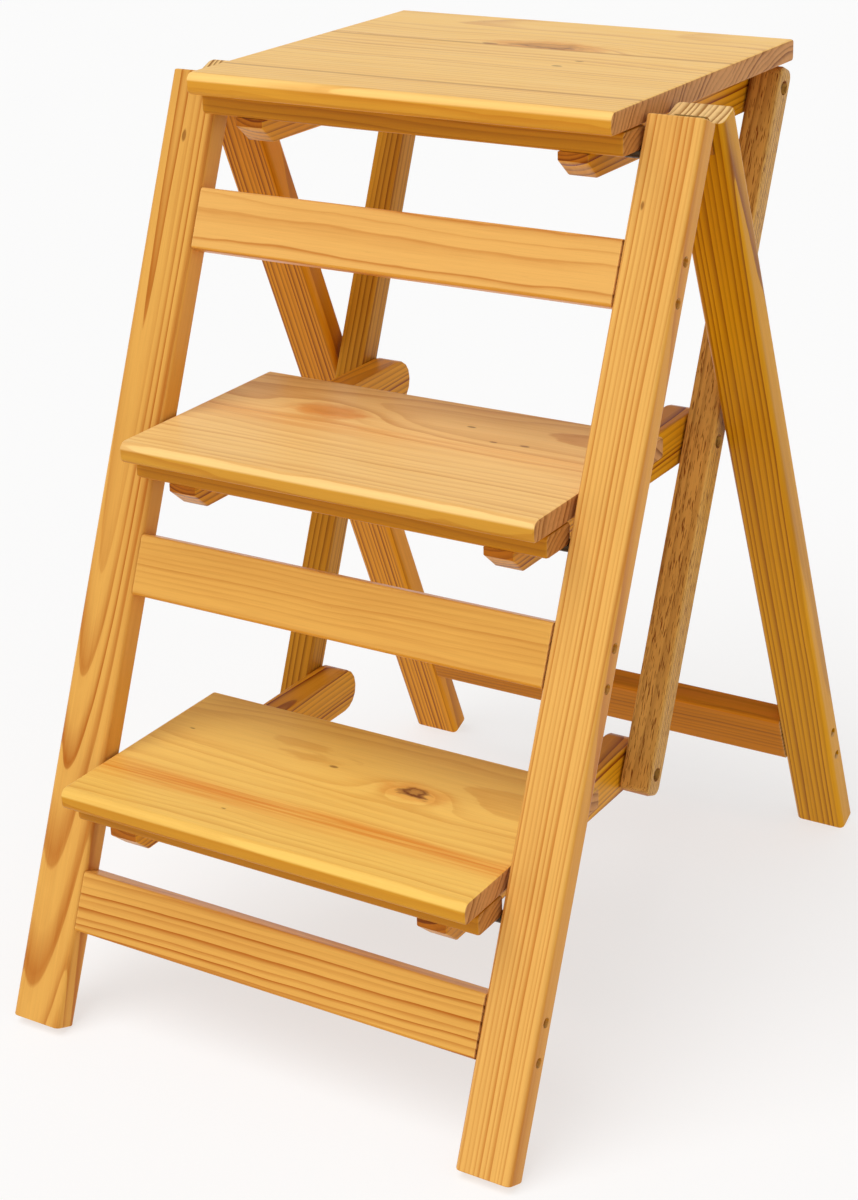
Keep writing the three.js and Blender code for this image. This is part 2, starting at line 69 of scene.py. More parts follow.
class Tree:
    """Short calls for building a shader or geometry tree."""

    def __init__(self, tree):
        self.tree = tree

    def node(self, kind, inputs=(), **settings):
        made = self.tree.nodes.new(kind)
        for key, value in settings.items():
            setattr(made, key, value)
        for key, value in dict(inputs).items():
            self.feed(made.inputs[key], value)
        return made

    def feed(self, socket, value):
        if isinstance(value, bpy.types.NodeSocket):
            self.tree.links.new(value, socket)
        else:
            socket.default_value = value

    def math(self, operation, *values, clamp=False):
        made = self.node("ShaderNodeMath", enumerate(values), operation=operation, use_clamp=clamp)
        return made.outputs[0]

    def chain(self, operation, *values, clamp=False):
        """One operation through all values from left to right. Only the last step is clamped."""
        *early, last = values
        result = early[0]
        for value in early[1:]:
            result = self.math(operation, result, value)
        return self.math(operation, result, last, clamp=clamp)

    def plus(self, *values, clamp=False):
        return self.chain("ADD", *values, clamp=clamp)

    def times(self, *values, clamp=False):
        return self.chain("MULTIPLY", *values, clamp=clamp)

    def minus(self, first, second):
        return self.math("SUBTRACT", first, second)

    def over(self, first, second):
        return self.math("DIVIDE", first, second)

    def bell(self, value):
        """A smooth bump: 1 at 0, nearly nothing beyond 2."""
        return self.math("EXPONENT", self.times(value, value, -1.0))

    def vector(self, operation, *values):
        made = self.node("ShaderNodeVectorMath", enumerate(values), operation=operation)
        return made.outputs["Value" if operation in ("DOT_PRODUCT", "LENGTH") else "Vector"]

    def scaled(self, vector, factor):
        made = self.node("ShaderNodeVectorMath", {0: vector, "Scale": factor}, operation="SCALE")
        return made.outputs["Vector"]

    def combine(self, x, y, z):
        return self.node("ShaderNodeCombineXYZ", enumerate((x, y, z))).outputs[0]

    def repeat(self, value):
        """A vector with the same value three times."""
        return self.combine(value, value, value)

    def split(self, vector):
        return self.node("ShaderNodeSeparateXYZ", {0: vector}).outputs[:]

    def noise(self, vector, seed, detail=2.0, rough=0.5):
        """4D noise, about 0.2 to 0.8 round a half."""
        values = {"Vector": vector, "W": seed, "Scale": 1.0, "Detail": detail, "Roughness": rough}
        return self.node("ShaderNodeTexNoise", values, noise_dimensions="4D").outputs

    def chance(self, number):
        """A random value from 0 to 1 for each number."""
        made = self.node("ShaderNodeTexWhiteNoise", {"W": number}, noise_dimensions="1D")
        return made.outputs["Value"]

    def ramp(self, value, low, high, to_low=0.0, to_high=1.0):
        """Smooth step of value from low to high."""
        places = {"Value": value, "From Min": low, "From Max": high, "To Min": to_low, "To Max": to_high}
        made = self.node("ShaderNodeMapRange", places, interpolation_type="SMOOTHSTEP")
        return made.outputs["Result"]

    def curve(self, value, stops):
        """Value through a ramp of (place, height) stops."""
        made = self.node("ShaderNodeValToRGB", {"Fac": value})
        marks = made.color_ramp.elements
        while len(marks) < len(stops):
            marks.new(0.5)
        for mark, (place, height) in zip(marks, stops):
            mark.position = place
            mark.color = (height, height, height, 1)
        return made.outputs["Color"]

    def mix(self, share, first, second, blend="MIX"):
        made = self.node("ShaderNodeMix", data_type="RGBA", blend_type=blend)
        self.feed(made.inputs[0], share)
        self.feed(made.inputs[6], first)
        self.feed(made.inputs[7], second)
        return made.outputs[2]

    def surface(self, inputs):
        """The shader of a whole material, and its output."""
        shader = self.node("ShaderNodeBsdfPrincipled", inputs)
        self.node("ShaderNodeOutputMaterial", {"Surface": shader.outputs[0]})


def new_material(name):
    """A material with nothing in it yet, and the tree to fill."""
    material = bpy.data.materials.new(name)
    material.use_nodes = True
    material.node_tree.nodes.clear()
    return material, Tree(material.node_tree)


def new_object(name, data):
    """An object that is in the scene."""
    made = bpy.data.objects.new(name, data)
    bpy.context.scene.collection.objects.link(made)
    return made


def linear(red, green, blue):
    """A screen colour of 0 to 255 as linear light."""
    def one(value):
        share = value / 255
        return share / 12.92 if share <= 0.04045 else ((share + 0.055) / 1.055) ** 2.4
    return (one(red), one(green), one(blue), 1.0)


# Pine

# What a plank tells the wood. Lengths are in millimetres, in the plank's own axes, apart from Centre.
PINE_INPUTS = {
    "Centre": (0, 0, 0), # middle of the plank, in metres
    "Along": (1, 0, 0), # way of the grain
    "Across": (0, 1, 0),
    "Half": (100, 20, 10), # half the size of the plank
    "Pith": (0, 0, -60), # where the pith line passes the middle
    "Slope": (0, 0, 0), # lean of the pith line, per millimetre of grain
    "Bend": (0, 0, 0), # bend of the pith line, at the bend reach from the middle
    "Joints": (0, 0, 0), # places of two glued joints, and their strength
    "Seed": 0.0,
    "Spacing": 4.0, # of the rings
    "Contrast": 0.6, # of late wood
    "Wobble": 2.0, # of the rings
    "Sharpness": 1.0, # higher for thinner late wood
    "Band": (0, 1, 0), # orange heartwood: place across, width, strength
    "Flecks": 0.1, # how much resin shows
    "Knot": (0, 0, 0), # place along and across, and strength
    "KnotSize": (1, 1, 0), # half its size along and across, and darkness
    "SpeckA": (0, 0, 0), # place along and across, and size
    "SpeckB": (0, 0, 0),
    "SpeckC": (0, 0, 0),
    "Light": (0.8, 0.5, 0.2, 1), # early wood
    "Dark": (0.5, 0.2, 0.05, 1), # late wood
    # the next tint is painted shade on the faces that look level or down
    "PaintedShade": (1, 1, 1, 1), # tint of the faces that look level or down
    "End": (1, 1, 1, 1), # end grain
}
PINE_OUTPUTS = {"Color": "NodeSocketColor", "Roughness": "NodeSocketFloat", "Height": "NodeSocketFloat"}
SOCKET_KINDS = {3: "NodeSocketVector", 4: "NodeSocketColor"} # by the count of its values

# Noise in the wood: size along and across the grain in millimetres, detail, roughness
GRAIN = {
    "ragged": (14, 6, 3.0, 0.5),
    "wide_wobble": (190, 55, 1.5, 0.4),
    "small_wobble": (42, 11, 2.0, 0.5),
    "fibre": (38, 0.6, 3.0, 0.6),
    "streak": (120, 2.6, 2.5, 0.55),
    "tone": (230, 24, 2.0, 0.5),
    "fleck": (8, 0.6, 1.0, 0.5),
    "worn_highlight": (26, 9, 2.0, 0.5),
}

# Where a face starts to be end grain and where it fully is, by how straight it looks along the grain,
# and the same for how much painted shade a face gets, by how far it looks up
END_FACE = (0.6, 0.85)
PAINTED_SHADE_FACE = (0.36, 0.04)

KNOT_COLOUR = linear(106, 40, 10)
HEART_COLOUR = linear(224, 134, 40)
FLECK_COLOUR = linear(116, 52, 10)
# The edge colour is partly wear and partly a painted highlight.
WORN_HIGHLIGHT_COLOUR = linear(248, 204, 118)
JOINT_COLOUR = linear(172, 96, 20)
END_LATE_TINT = (0.42, 0.28, 0.16, 1)

# Glued joints, and how much the wood differs from strip to strip
JOINT_WIDTH = 2.0
SAME_STRIP = 0.5 # two strip numbers nearer than this are one strip
JOINT_SEED = 7.3
JOINT_SHIFT = (0, 47, -16)
JOINT_SHARE = 0.7

# Darkness across one ring, from early wood to late wood, as (place, darkness)
LATE_WOOD = (
    (0.0, 0.1), (0.12, 0.0), (0.45, 0.14), (0.78, 0.72), (0.9, 1.0), (0.97, 0.85), (1.0, 0.1),
)
BEND_REACH = 100.0
WIDE_DRIFT = 4.0 # per unit of wobble
SMALL_DRIFT = 0.55
UNEVEN_PACE = 0.37 # how fast the spacing changes, per ring
UNEVEN_RINGS = 2.2 # and by how many rings
WEAKEST_RING = 0.35
END_CONTRAST = 0.5
TONE_DEPTH = 0.55
STREAK_DEPTH = 0.42
FIBRE_SHADE = 0.22

BAND_WANDER = 2.2
BAND_STREAKS = (-0.16, 0.12, 0.35, 1.0) # streak from and to, strength from and to

# A fleck shows where its noise passes a limit, which more flecks lower
FLECK_LIMIT = 0.67
FLECK_LOWERING = 0.09
FLECK_SOFTNESS = 0.1
FLECK_SHARE = 0.7

# Specks, in millimetres
SPECK_SQUEEZE = 0.4 # along the grain, so that a speck is longer than wide
SPECK_RAGGED = 2.0
SPECK_SOFTNESS = 1.0
SPECK_SHARE = 0.66

# The knot. Its edges are given from outside to inside, with 1 as its outline and 0 as its middle.
KNOT_RAGGED = 1.7
KNOT_LEAST = 0.1 # strength from which a knot shows fully
SWERVE_FALL = -0.22 # of the rings' swerve, away from the knot
CORE_EDGE = (1.0, 0.55)
HALO_EDGE = (2.0, 0.9)
HALO_SHARE = 0.42
HALO_MOST = 1.6 # times the share, less what a dark knot takes off
HALO_DARK = 0.7
KNOT_RINGS = 17.0
KNOT_RING_RAGGED = 3.0
KNOT_RING_SHADE = (-1.0, 1.4, 0.8, 1.0) # wave from and to, cover from and to
KNOT_PALE_MIDDLE = (0.5, 0.1)
KNOT_PALE_SHARE = 0.5
KNOT_FRONT = (0.4, -0.5) # from the rear part to the front part

# Where the wear and painted highlight of the edges start and where they are full, by the distance to the
# edge in millimetres
WORN_HIGHLIGHT_EDGE = (2.6, 0.9)
WORN_HIGHLIGHT_WANDER = 2.0
WORN_HIGHLIGHT_SHARE = 0.09

# Roughness of the varnish, and what each feature adds to it
ROUGHNESS = 0.36
ROUGH_STREAK = 0.22
ROUGH_END = 0.16
ROUGH_EDGE = 0.08
ROUGH_LATE = -0.06

# What each feature adds to the relief of the varnish, as a share of its distance
RELIEF_FIBRE = 0.7
RELIEF_FLECK = -0.6
RELIEF_LATE = 0.35
RELIEF_KNOT = -0.3
RELIEF_JOINT = -0.15
RELIEF_STRENGTH = 0.3
RELIEF_DISTANCE = 0.4 * MM

VARNISH_TINT = (1.0, 0.8, 0.42, 1.0)
VARNISH_IOR = 1.36
VARNISH_SPECULAR = 0.3


class Pine(Tree):
    """Solid pine as a node group, in millimetres in the plank's own axes, with the grain along X."""

    def __init__(self):
        super().__init__(bpy.data.node_groups.new("pine", "ShaderNodeTree"))
        self.add_sockets()
        self.given = self.node("NodeGroupInput").outputs
        self.find_place()
        self.find_strips()
        self.find_knot()
        self.find_rings()
        self.find_fibres()
        self.find_edges()
        colour = self.plain_colour()
        colour = self.with_heartwood(colour)
        colour = self.with_flecks(colour)
        colour = self.with_specks(colour)
        colour = self.with_knot(colour)
        colour = self.with_joints_and_fibres(colour)
        colour = self.with_finish(colour)
        values = {"Color": colour, "Roughness": self.roughness(), "Height": self.relief()}
        self.node("NodeGroupOutput", values)

    def add_sockets(self):
        new_socket = self.tree.interface.new_socket
        for name, value in PINE_INPUTS.items():
            kind = SOCKET_KINDS[len(value)] if isinstance(value, tuple) else "NodeSocketFloat"
            new_socket(name, in_out="INPUT", socket_type=kind)
        for name, kind in PINE_OUTPUTS.items():
            new_socket(name, in_out="OUTPUT", socket_type=kind)

    def grain(self, name):
        """Noise drawn out along the grain."""
        along, across, detail, rough = GRAIN[name]
        place = self.vector("MULTIPLY", self.plank, (1 / along, 1 / across, 1 / across))
        return self.noise(place, self.seed, detail, rough)

    def swing(self, name):
        """The same noise round zero."""
        return self.minus(self.grain(name)["Fac"], 0.5)

    def find_place(self):
        """The place in the plank, whether the face is end grain, and how much painted shade it gets for
        looking level or down.
        """
        given = self.given
        coordinates = self.node("ShaderNodeTexCoord").outputs
        from_centre = self.vector("SUBTRACT", coordinates["Object"], given["Centre"])
        third = self.vector("CROSS_PRODUCT", given["Along"], given["Across"])
        self.x, self.y, self.z = (
            self.times(self.vector("DOT_PRODUCT", from_centre, axis), 1 / MM)
            for axis in (given["Along"], given["Across"], third)
        )
        self.plank = self.combine(self.x, self.y, self.z)
        normal = coordinates["Normal"]
        end_share = self.math("ABSOLUTE", self.vector("DOT_PRODUCT", normal, given["Along"]))
        self.end = self.ramp(end_share, *END_FACE)
        upward = self.split(normal)[2]
        self.painted_shade = self.times(self.ramp(upward, *PAINTED_SHADE_FACE), self.minus(1.0, self.end))

    def find_strips(self):
        """Strips of wood glued side by side, each with its own rings."""
        *self.joint_places, strength = self.split(self.given["Joints"])
        self.glued = self.math("SIGN", strength)
        self.strip = self.strip_number(self.y)
        self.seed = self.plus(self.given["Seed"], self.times(self.strip, JOINT_SEED))
        lines = [
            self.bell(self.over(self.minus(self.y, place), JOINT_WIDTH))
            for place in self.joint_places
        ]
        self.joint = self.times(self.plus(*lines), strength)

    def strip_number(self, y):
        """How many joints lie below a place across the plank."""
        passed = [self.math("GREATER_THAN", y, place) for place in self.joint_places]
        return self.times(self.plus(*passed), self.glued)

    def find_knot(self):
        """The knot, and the swerve of the rings round it, in its own strip only."""
        knot_x, knot_y, strength = self.split(self.given["Knot"])
        half_long, half_wide, self.knot_dark = self.split(self.given["KnotSize"])
        same_strip = self.math("COMPARE", self.strip, self.strip_number(knot_y), SAME_STRIP)
        strength = self.times(strength, same_strip)
        self.knot_there = self.ramp(strength, 0.0, KNOT_LEAST)
        self.ragged = self.swing("ragged")
        u = self.over(self.minus(self.x, knot_x), half_long)
        self.knot_v = self.over(self.minus(self.y, knot_y), half_wide)
        reach = self.plus(self.times(u, u), self.times(self.knot_v, self.knot_v))
        self.knot_away = self.plus(self.math("SQRT", reach), self.times(self.ragged, KNOT_RAGGED))
        self.core = self.times(self.ramp(self.knot_away, *CORE_EDGE), self.knot_there)
        near = self.math("EXPONENT", self.times(reach, SWERVE_FALL))
        self.swerve = self.times(near, strength, half_wide)

    def drift(self, name, amount):
        """A slow wander of the rings."""
        wander = self.vector("SUBTRACT", self.grain(name)["Color"], (0.5, 0.5, 0.5))
        return self.scaled(wander, self.times(self.given["Wobble"], amount))

    def pith_line(self):
        """Where the pith runs at this place along the grain. It leans and bends, and each strip of
        wood has its own."""
        leaning = self.vector("MULTIPLY", self.repeat(self.x), self.given["Slope"])
        reach = self.math("POWER", self.times(self.x, 1 / BEND_REACH), 2.0)
        bending = self.vector("MULTIPLY", self.repeat(reach), self.given["Bend"])
        strip_shift = self.vector("MULTIPLY", self.repeat(self.strip), JOINT_SHIFT)
        start = self.vector("ADD", self.given["Pith"], strip_shift)
        return self.vector("ADD", start, self.vector("ADD", leaning, bending))

    def find_rings(self):
        """Uneven rings round the pith line, with late wood that darkens outwards and stops short."""
        away = self.vector("SUBTRACT", self.plank, self.pith_line())
        away = self.vector("ADD", away, self.drift("wide_wobble", WIDE_DRIFT))
        away = self.vector("ADD", away, self.drift("small_wobble", SMALL_DRIFT))
        away = self.vector("MULTIPLY", away, (0.0, 1.0, 1.0))
        radius = self.plus(self.vector("LENGTH", away), self.swerve)
        rings = self.over(radius, self.given["Spacing"])
        pace = self.combine(self.times(rings, UNEVEN_PACE), 0.0, 0.0)
        uneven = self.noise(pace, self.seed, 1.0)["Fac"]
        rings = self.plus(rings, self.times(uneven, UNEVEN_RINGS))
        late = self.curve(self.math("FRACT", rings), LATE_WOOD)
        late = self.math("POWER", late, self.given["Sharpness"])
        chance = self.chance(self.plus(self.math("FLOOR", rings), self.seed))
        self.late = self.times(late, self.ramp(chance, 0.0, 1.0, WEAKEST_RING, 1.0))

    def find_fibres(self):
        """Fibres, streaks and slow changes of tone along the grain."""
        self.fibre = self.swing("fibre")
        self.streak = self.swing("streak")
        self.tone = self.swing("tone")

    def find_edges(self):
        """Worn edges with a painted highlight, by the second smallest distance to the plank's faces."""
        inside = self.vector("SUBTRACT", self.given["Half"], self.vector("ABSOLUTE", self.plank))
        in_x, in_y, in_z = self.split(inside)
        smaller = self.math("MINIMUM", in_x, in_y)
        larger = self.math("MAXIMUM", in_x, in_y)
        second = self.math("MAXIMUM", smaller, self.math("MINIMUM", larger, in_z))
        worn_highlight = self.times(self.grain("worn_highlight")["Fac"], WORN_HIGHLIGHT_WANDER)
        self.edge = self.ramp(self.plus(second, worn_highlight), *WORN_HIGHLIGHT_EDGE)

    def plain_colour(self):
        """Early wood to late wood, by the depth of colour."""
        contrast = self.plus(self.given["Contrast"], self.times(self.end, END_CONTRAST))
        self.depth = self.plus(
            self.times(self.late, contrast),
            self.times(self.tone, TONE_DEPTH),
            self.times(self.streak, STREAK_DEPTH),
            clamp=True,
        )
        return self.mix(self.depth, self.given["Light"], self.given["Dark"])

    def with_heartwood(self, colour):
        """A band of orange heartwood that wanders across the plank."""
        place, width, strength = self.split(self.given["Band"])
        off = self.over(self.minus(self.y, place), width)
        off = self.plus(off, self.times(self.tone, BAND_WANDER))
        band = self.times(self.bell(off), self.ramp(self.streak, *BAND_STREAKS))
        return self.mix(self.times(band, strength, clamp=True), colour, HEART_COLOUR)

    def with_flecks(self, colour):
        """Short dark lines of resin, everywhere but on the end grain."""
        flecks = self.given["Flecks"]
        limit = self.minus(FLECK_LIMIT, self.times(flecks, FLECK_LOWERING))
        fleck = self.ramp(self.minus(self.grain("fleck")["Fac"], limit), 0.0, FLECK_SOFTNESS)
        self.fleck = self.times(fleck, self.times(flecks, self.minus(1.0, self.end)))
        return self.mix(self.times(self.fleck, FLECK_SHARE), colour, FLECK_COLOUR)

    def with_specks(self, colour):
        """Up to three dark specks, each at its own place."""
        for letter in "ABC":
            speck_x, speck_y, size = self.split(self.given[f"Speck{letter}"])
            off_x = self.times(self.minus(self.x, speck_x), SPECK_SQUEEZE)
            off_y = self.minus(self.y, speck_y)
            reach = self.plus(self.times(off_x, off_x), self.times(off_y, off_y))
            reach = self.plus(self.math("SQRT", reach), self.times(self.ragged, SPECK_RAGGED))
            speck = self.ramp(self.minus(size, reach), 0.0, SPECK_SOFTNESS)
            colour = self.mix(self.times(speck, SPECK_SHARE), colour, FLECK_COLOUR)
        return colour

    def with_knot(self, colour):
        """A halo of heartwood round a ringed core, paler in its middle and darker at its front."""
        away, dark = self.knot_away, self.knot_dark
        halo_share = self.times(self.minus(HALO_MOST, self.times(dark, HALO_DARK)), HALO_SHARE)
        halo = self.times(self.ramp(away, *HALO_EDGE, 0.0, halo_share), self.knot_there)
        colour = self.mix(halo, colour, HEART_COLOUR)
        rings = self.math("SINE", self.times(away, KNOT_RINGS))
        rings = self.plus(rings, self.times(self.ragged, KNOT_RING_RAGGED))
        shade = self.ramp(rings, *KNOT_RING_SHADE)
        pale = self.times(self.ramp(away, *KNOT_PALE_MIDDLE), self.times(dark, KNOT_PALE_SHARE))
        front = self.ramp(self.knot_v, *KNOT_FRONT, self.times(dark, dark), 1.0)
        cover = self.times(self.core, shade, front, self.minus(dark, pale))
        return self.mix(cover, colour, KNOT_COLOUR)

    def with_joints_and_fibres(self, colour):
        """Darker lines of glue, and fine light and dark fibres over everything."""
        colour = self.mix(self.times(self.joint, JOINT_SHARE, clamp=True), colour, JOINT_COLOUR)
        shade = self.plus(1.0, self.times(self.fibre, FIBRE_SHADE))
        return self.mix(1.0, colour, self.repeat(shade), "MULTIPLY")

    def with_finish(self, colour):
        """Duller end grain, painted shade on faces that look level or down, and worn edges with a painted
        highlight.
        """
        end_early = self.given["End"]
        end_late = self.mix(1.0, end_early, END_LATE_TINT, "MULTIPLY")
        colour = self.mix(self.end, colour, self.mix(self.depth, end_early, end_late))
        # Painted shade: faces that look level or down are darkened by a tint.
        shaded_colour = self.mix(1.0, colour, self.given["PaintedShade"], "MULTIPLY")
        colour = self.mix(self.painted_shade, colour, shaded_colour)
        # Edges lightened: partly wear, partly a painted highlight.
        return self.mix(self.times(self.edge, WORN_HIGHLIGHT_SHARE), colour, WORN_HIGHLIGHT_COLOUR)

    def roughness(self):
        return self.plus(
            ROUGHNESS,
            self.times(self.streak, ROUGH_STREAK),
            self.times(self.end, ROUGH_END),
            self.times(self.edge, ROUGH_EDGE),
            self.times(self.late, ROUGH_LATE),
            clamp=True,
        )

    def relief(self):
        return self.plus(
            self.times(self.fibre, RELIEF_FIBRE),
            self.times(self.fleck, RELIEF_FLECK),
            self.times(self.late, RELIEF_LATE),
            self.times(self.core, RELIEF_KNOT),
            self.times(self.joint, RELIEF_JOINT),
        )


PINE = Pine().tree


def plank_fit(obj, axes):
    """The middle of a plank in metres, and half its size along its axes in millimetres."""
    centre = Vector()
    half = []
    for axis in axes:
        places = [vertex.co.dot(axis) for vertex in obj.data.vertices]
        low, high = min(places), max(places)
        centre += axis * (low + high) / 2
        half.append((high - low) / 2 / MM)
    return centre, half


def pine(name, obj, along, across, **looks):
    """A pine material for one plank, fitted to the piece's own middle and size."""
    centre, half = plank_fit(obj, [Vector(along), Vector(across), Vector(along).cross(Vector(across))])
    values = dict(PINE_INPUTS, Centre=centre, Along=along, Across=across, Half=half)
    values.update(looks)
    material, t = new_material(name)
    wood = t.node("ShaderNodeGroup", node_tree=PINE)
    for key, value in values.items():
        wood.inputs[key].default_value = value
    relief = {
        "Height": wood.outputs["Height"],
        "Strength": RELIEF_STRENGTH,
        "Distance": RELIEF_DISTANCE,
    }
    t.surface({
        "Base Color": wood.outputs["Color"],
        "Roughness": wood.outputs["Roughness"],
        "Normal": t.node("ShaderNodeBump", relief).outputs["Normal"],
        "IOR": VARNISH_IOR,
        "Specular IOR Level": VARNISH_SPECULAR,
        "Specular Tint": VARNISH_TINT,
    })
    return material


# Colours of early wood, late wood and end grain, and the tint of painted shade on faces that look level
# or down
PALE = {"Light": linear(224, 166, 80), "Dark": linear(176, 96, 24),
        "PaintedShade": (0.92, 0.76, 0.40, 1), "End": linear(232, 182, 116)}
FAIR = dict(PALE, Light=linear(232, 176, 92), Dark=linear(186, 106, 30))
TREAD = {"Light": linear(246, 200, 102), "Dark": linear(210, 138, 44),
         "PaintedShade": (0.69, 0.49, 0.14, 1), "End": linear(204, 144, 86)}
# The nose strips face forward and down; their colours are darkened with painted shade instead of the tint
# for faces that look level or down.
NOSE_IN_SHADE = {"Light": linear(198, 128, 26), "Dark": linear(142, 72, 8), "End": linear(196, 134, 70)}
HONEY = {"Light": linear(226, 156, 40), "Dark": linear(132, 50, 4),
         "PaintedShade": (1, 1, 0.42, 1), "End": linear(190, 108, 20)}
AMBER = {"Light": linear(218, 144, 28), "Dark": linear(144, 72, 8),
         "PaintedShade": (1, 0.9, 0.5, 1), "End": linear(240, 200, 136)}
BROWN = {"Light": linear(218, 164, 82), "Dark": linear(122, 70, 24), "End": linear(200, 140, 90)}

# For each wooden piece: the way of its grain, the way across it, and its looks
PLANKS = {
    "stringer_right": (UP_FRONT, X_AXIS, dict(
        FAIR, Seed=1.0, Pith=(0, -96, 14), Slope=(0, 0.012, 0), Spacing=3.5, Contrast=0.9, Wobble=0.9,
        SpeckA=(281, -11, 1.4))),
    "stringer_left": (UP_FRONT, X_AXIS, dict(
        PALE, Seed=2.0, Pith=(0, -8, 1), Slope=(0, 0, -0.0544), Bend=(0, 0, 0.8), Spacing=6.0,
        Contrast=0.95, Wobble=1.0, PaintedShade=(1, 0.95, 0.8, 1), SpeckA=(293, -1, 2.2))),
    "front_rail_bottom": (X_AXIS, UP_FRONT, dict(
        PALE, Seed=3.0, Pith=(0, -70, 30), Slope=(0, 0.02, 0), Spacing=5.2, Contrast=1.0, Wobble=2.2)),
    "front_rail_middle": (X_AXIS, UP_FRONT, dict(
        PALE, Seed=4.0, Pith=(0, -40, -36), Slope=(0, 0.02, 0), Spacing=3.0, Contrast=0.4, Wobble=2.0)),
    "front_rail_top": (X_AXIS, UP_FRONT, dict(
        FAIR, Seed=5.0, Pith=(0, -64, 8), Slope=(0, -0.028, 0), Spacing=11.0, Contrast=0.9, Wobble=6.5,
        Sharpness=2.6, Light=linear(231, 175, 95))),
    "seat_board": (X_AXIS, Y_AXIS, dict(
        TREAD, Seed=6.0, Pith=(0, 30, -90), Slope=(0, 0.02, 0.03), Spacing=4.6, Contrast=0.62, Wobble=4.0,
        Knot=(16, 45, 1.6), KnotSize=(30, 12, 0.72), Joints=(-97, 36, 0.8),
        SpeckA=(57, -17, 2.2), SpeckB=(63, 3, 1.8), SpeckC=(-27, 39, 3.0),
        Light=linear(255, 207, 122), Dark=linear(218, 146, 56))),
    "middle_step_board": (X_AXIS, Y_AXIS, dict(
        TREAD, Seed=7.0, Pith=(0, 50, -46), Slope=(0, 0.03, 0.05), Spacing=6.2, Contrast=0.62, Wobble=5.0,
        Band=(8, 10, 0.35), Knot=(-68, 32, 1.2), KnotSize=(20, 8, 0.1),
        SpeckA=(36, 47, 1.8), SpeckB=(65, 27, 1.6), SpeckC=(87, 29, 1.8),
        Light=linear(248, 206, 132), Dark=linear(206, 136, 60))),
    "bottom_step_board": (X_AXIS, Y_AXIS, dict(
        TREAD, Seed=8.0, Pith=(0, 40, -90), Slope=(0, 0.03, 0.02), Spacing=4.4, Contrast=0.48, Wobble=4.0,
        Band=(-42, 10, 0.85), Knot=(55, 23, 1.4), KnotSize=(17, 8, 0.95),
        SpeckA=(-137, 31, 1.4), SpeckB=(-15, 29, 2.0), SpeckC=(-46, -57, 1.2))),
    "rear_rail": (X_AXIS, UP_REAR, dict(
        AMBER, Seed=9.0, Pith=(0, -60, 30), Slope=(0, 0.02, 0), Spacing=4.2, Contrast=0.7, Wobble=2.0,
        Light=linear(194, 122, 2), Dark=linear(112, 60, 1), PaintedShade=(1, 0.9, 0.1, 1),
        Band=(22, 5, 0.6))),
    "rear_leg_left": (UP_REAR, X_AXIS, dict(
        AMBER, Seed=10.0, Pith=(0, 84, 10), Slope=(0, 0.01, 0), Spacing=3.9, Contrast=1.3, Wobble=1.2,
        Light=linear(222, 152, 32))),
    "rear_leg_right": (UP_REAR, X_AXIS, dict(
        AMBER, Seed=11.0, Pith=(0, -90, 12), Slope=(0, 0.01, 0), Spacing=4.2, Contrast=1.05, Wobble=1.0,
        Light=linear(215, 156, 20), Dark=linear(146, 84, 4))),
    "link_bar_left": (UP_FRONT, X_AXIS, dict(
        BROWN, Seed=12.0, Pith=(0, 40, 40), Slope=(0, 0.01, 0), Spacing=3.4, Contrast=0.95, Wobble=1.4,
        Light=linear(202, 141, 38), Dark=linear(124, 66, 14))),
    "link_bar_right": (UP_FRONT, X_AXIS, dict(
        BROWN, Seed=13.0, Pith=(0, 30, 60), Slope=(0, 0.02, 0), Spacing=2.8, Contrast=0.85, Wobble=1.6,
        Flecks=1.25)),
}


def tread_planks(number, tread):
    """The strip under the nose of a tread, and its cleats."""
    nose = dict(
        NOSE_IN_SHADE, Seed=20.0 + number, Pith=(0, 20, -40), Slope=(0, 0.02, 0), Spacing=4.0, Contrast=0.6)
    planks = {f"{tread}_nose_strip": (X_AXIS, Y_AXIS, nose)}
    for side, lean in zip(SIDES, (1, -1)):
        cleat = dict(
            HONEY, Seed=30.0 + 2 * number + lean, Pith=(0, 6 * lean, -34), Slope=(0, 0, -0.03),
            Spacing=4.0, Contrast=1.1, Wobble=1.4)
        planks[f"{tread}_cleat_{side}"] = (Y_AXIS, X_AXIS, cleat)
    return planks


for tread_number, tread_name in enumerate(TREADS):
    PLANKS.update(tread_planks(tread_number, tread_name))


# Metal

# Scales are in marks or patches per metre
MARKS_PER_METRE = (2600.0, 420.0, 420.0)
MARKS_SEED = 3.0
PATCHES_PER_METRE = (260.0, 260.0, 260.0)
PATCHES_SEED = 5.0
METAL_DETAIL = 3.0
METAL_ROUGH = 0.6
STAINED_PATCHES = (0.5, 0.72) # not yet stained, fully stained
STAIN_SHARE = 0.45
DULL_PATCHES = (0.3, 0.7, 0.26, 0.46) # patch from and to, roughness from and to
MARKS_ROUGHNESS = 0.08
MARKS_STRENGTH = 0.15
MARKS_DISTANCE = 0.05 * MM


